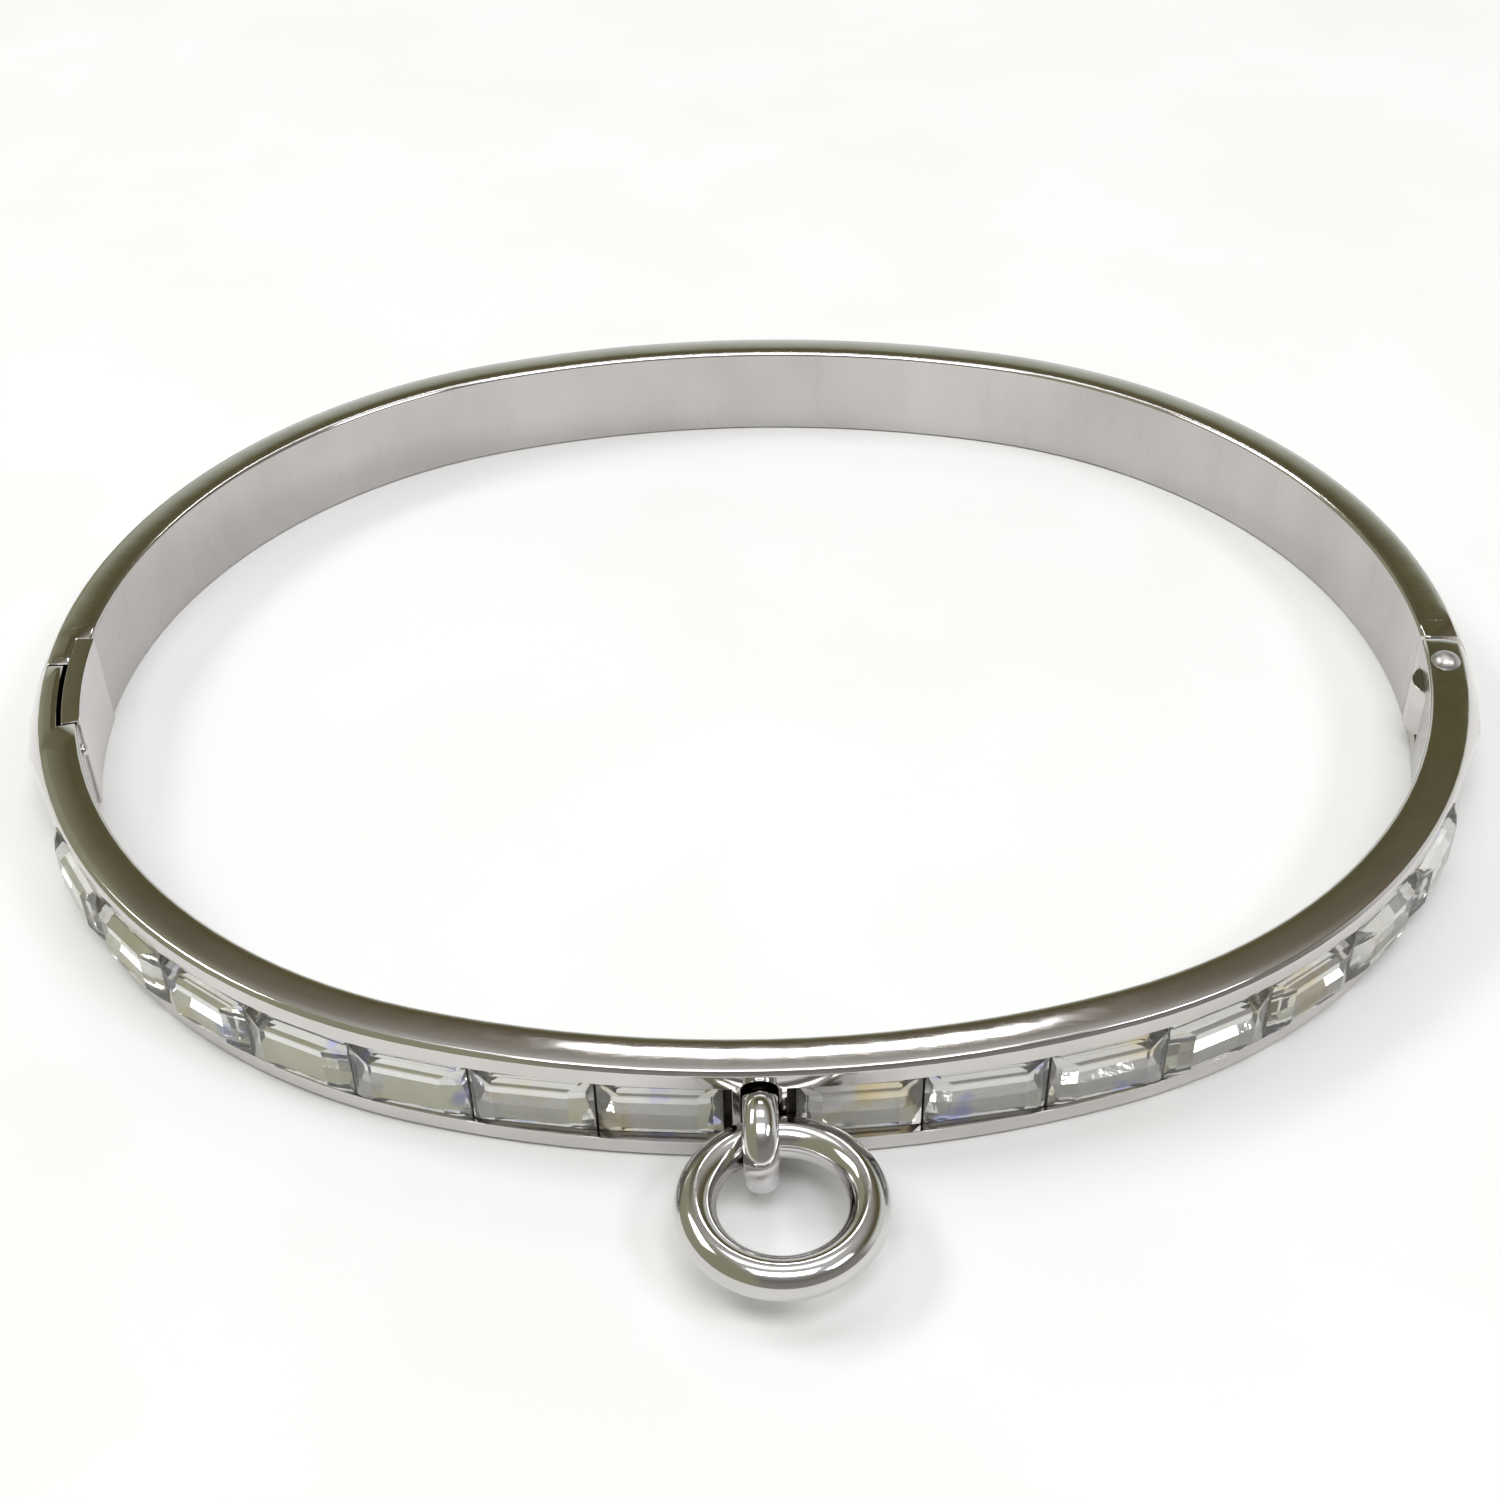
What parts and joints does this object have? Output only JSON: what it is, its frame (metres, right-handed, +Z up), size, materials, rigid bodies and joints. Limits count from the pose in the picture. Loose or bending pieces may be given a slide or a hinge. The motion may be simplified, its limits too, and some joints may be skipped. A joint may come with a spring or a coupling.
{
  "type": "bangle bracelet",
  "caption": "Hinged oval bangle with a flat-sided domed band, a front channel of baguette crystals and a drop ring in a fixed eye.",
  "frame": {"origin": "middle of the oval, on the surface that the bangle lies on", "axes": "+X right, towards the hinge; -X towards the clasp; -Y front, with crystals and ring; +Z up, along the wrist"},
  "size_m": [0.068, 0.0648, 0.0053],
  "materials": {
    "front_metal": "mirror polish, silver-coloured plate",
    "rear_metal": "polished plate, satin inner wall",
    "fitting_metal": "polished plate",
    "ring_metal": "mirror polish, silver-coloured plate",
    "crystal": "step-cut, foil-backed"
  },
  "bodies": {
    "front": {"front_half": "front_metal", "ring_eye": "ring_metal", "hinge_pin": "fitting_metal", "lap_rivet": "fitting_metal", "crystal_left_1": "crystal", "crystal_left_2": "crystal", "crystal_left_3": "crystal", "crystal_left_4": "crystal", "crystal_left_5": "crystal", "crystal_left_6": "crystal", "crystal_left_7": "crystal", "crystal_right_1": "crystal", "crystal_right_2": "crystal", "crystal_right_3": "crystal", "crystal_right_4": "crystal", "crystal_right_5": "crystal", "crystal_right_6": "crystal", "crystal_right_7": "crystal"},
    "rear": {"rear_half": "rear_metal", "hinge_knuckle": "fitting_metal", "clasp_tongue": "rear_metal"},
    "ring": {"drop_ring": "ring_metal"}
  },
  "joints": [
    {"name": "band_hinge", "type": "hinge", "parent": "front", "child": "rear", "pos_m": [0.03195, -0.00385, 0.00245], "axis": [0, 0, -1], "range_deg": [0, 55]},
    {"name": "ring_swing", "type": "hinge", "parent": "front", "child": "ring", "pos_m": [-0.0003, -0.02894, 0.0023], "axis": [-1, 0, 0], "range_deg": [-70, 90]}
  ]
}
